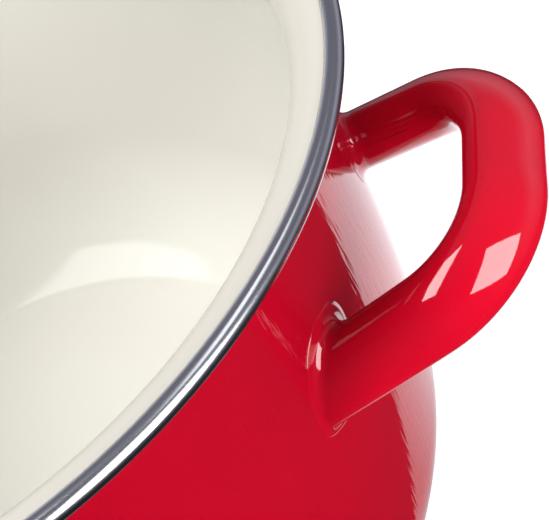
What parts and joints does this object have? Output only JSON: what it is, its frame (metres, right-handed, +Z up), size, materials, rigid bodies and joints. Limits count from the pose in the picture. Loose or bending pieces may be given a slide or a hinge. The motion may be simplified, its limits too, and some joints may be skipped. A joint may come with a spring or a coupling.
{
  "type": "soup tureen",
  "caption": "Bellied enamelled steel soup pot with rolled steel rim, upswept hollow loop handles and a separate domed lid.",
  "frame": {"origin": "on the pot's axis, in the plane of the standing ring", "axes": "+Z up along the pot's axis, +X through the middle of the right handle, -X through the left handle; the lid lies off the pot at 130 degrees from +X"},
  "size_m": [0.5321, 0.5276, 0.197],
  "materials": {
    "red_enamel": "glossy red vitreous enamel on steel sheet",
    "cream_enamel": "glossy cream vitreous enamel lining",
    "stainless_steel": "polished stainless steel"
  },
  "bodies": {
    "pot": {"pot_body": "red_enamel", "pot_lining": "cream_enamel", "pot_rim": "stainless_steel", "right_handle": "red_enamel", "left_handle": "red_enamel"},
    "lid": {"lid_shell": "red_enamel", "lid_lining": "cream_enamel", "lid_rim": "stainless_steel", "lid_knob": "stainless_steel", "knob_rose": "stainless_steel", "knob_screw": "stainless_steel"}
  },
  "joints": [
    {"name": "lid_lift", "type": "slide", "parent": "pot", "child": "lid", "axis": [0, 0, 1], "range_m": [0, 0.21]}
  ]
}
